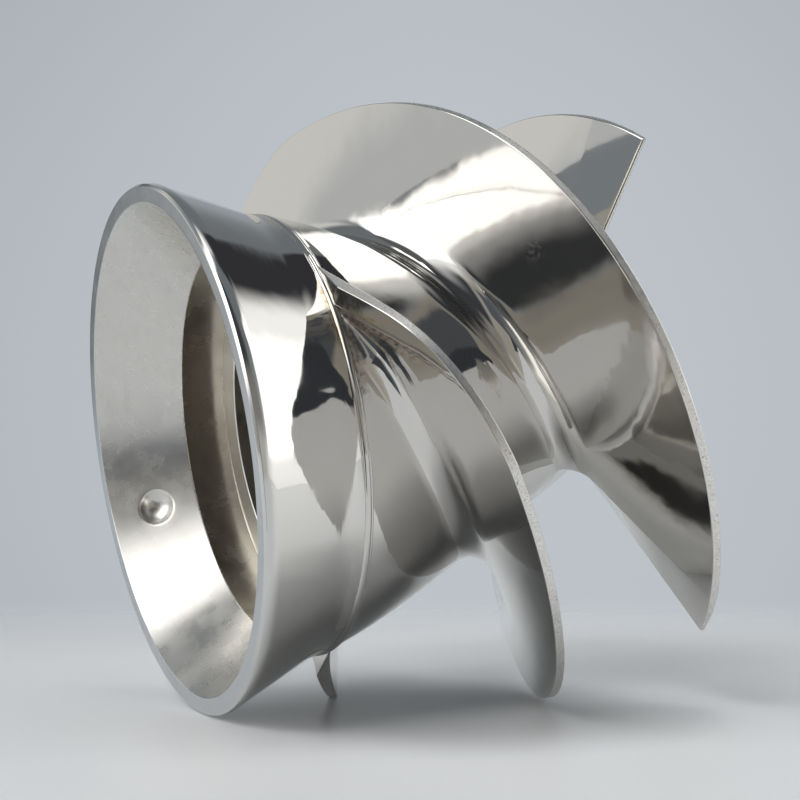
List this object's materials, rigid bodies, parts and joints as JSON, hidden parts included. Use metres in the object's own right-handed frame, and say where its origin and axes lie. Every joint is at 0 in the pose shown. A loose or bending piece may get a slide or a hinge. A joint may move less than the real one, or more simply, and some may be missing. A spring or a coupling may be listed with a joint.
{
  "type": "pump_impeller",
  "caption": "Mixed-flow pump impeller: three spiral blades on a tapered hub that flares to an open rear lip with a stepped hollow, cast in polished stainless steel",
  "frame": {"origin": "on the shaft axis, in the plane of the flat shoulder at the end of the register bore", "axes": "+Z runs along the shaft axis from the open rear lip to the nose, where the water comes in; +X points to where the first blade starts at the seam bead; it stands on the lip, which is 30.2 mm below the origin"},
  "size_m": [0.1503, 0.1502, 0.1168],
  "materials": {
    "stainless_steel": "mirror-polished outside, with ground satin blade tips and a finely turned bore"
  },
  "bodies": {
    "root": {"impeller": "stainless_steel"}
  },
  "joints": []
}
